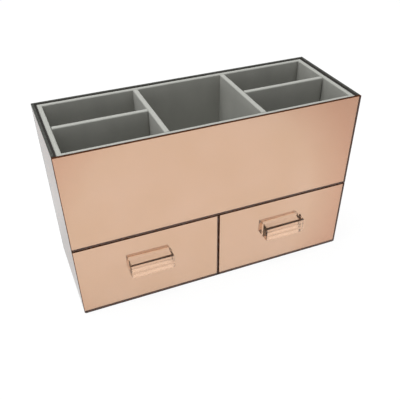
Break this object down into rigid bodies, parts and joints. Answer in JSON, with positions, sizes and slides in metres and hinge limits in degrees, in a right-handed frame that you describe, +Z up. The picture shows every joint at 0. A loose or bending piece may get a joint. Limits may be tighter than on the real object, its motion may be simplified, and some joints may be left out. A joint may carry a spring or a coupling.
{
  "type": "mirrored drawer organizer",
  "caption": "Mirror-clad desk organizer for jewellery and cosmetics: an open velvet tray with compartments over small drawers with clear pulls.",
  "frame": {"origin": "middle of the case's footprint, without the pulls, on the surface it stands on", "axes": "+X to the right seen from the front, +Y from the drawer fronts to the back, +Z up"},
  "size_m": [0.28, 0.1134, 0.172],
  "materials": {
    "rose_mirror": "polished",
    "dark_board": "matte",
    "grey_velvet": "matte",
    "black_felt": "matte",
    "clear_acrylic": "polished"
  },
  "bodies": {
    "case": {"base_felt": "black_felt", "base_board": "dark_board", "left_side_board": "dark_board", "right_side_board": "dark_board", "back_board": "dark_board", "shelf_board": "dark_board", "drawer_partition": "dark_board", "front_mirror": "rose_mirror", "back_mirror": "rose_mirror", "left_side_mirror": "rose_mirror", "right_side_mirror": "rose_mirror", "tray_floor": "grey_velvet", "tray_front_wall": "grey_velvet", "tray_back_wall": "grey_velvet", "tray_left_wall": "grey_velvet", "tray_right_wall": "grey_velvet", "tray_left_divider": "grey_velvet", "tray_right_divider": "grey_velvet", "tray_left_cross_divider": "grey_velvet", "tray_right_cross_divider": "grey_velvet"},
    "left_drawer": {"left_drawer_mirror": "rose_mirror", "left_drawer_front_wall": "grey_velvet", "left_drawer_back_wall": "grey_velvet", "left_drawer_left_wall": "grey_velvet", "left_drawer_right_wall": "grey_velvet", "left_drawer_floor": "grey_velvet", "left_drawer_pad": "grey_velvet", "left_drawer_pull": "clear_acrylic"},
    "right_drawer": {"right_drawer_mirror": "rose_mirror", "right_drawer_front_wall": "grey_velvet", "right_drawer_back_wall": "grey_velvet", "right_drawer_left_wall": "grey_velvet", "right_drawer_right_wall": "grey_velvet", "right_drawer_floor": "grey_velvet", "right_drawer_pad": "grey_velvet", "right_drawer_pull": "clear_acrylic"}
  },
  "joints": [
    {"name": "left_drawer_slide", "type": "slide", "parent": "case", "child": "left_drawer", "axis": [0, -1, 0], "range_m": [0, 0.085]},
    {"name": "right_drawer_slide", "type": "slide", "parent": "case", "child": "right_drawer", "axis": [0, -1, 0], "range_m": [0, 0.085]}
  ]
}
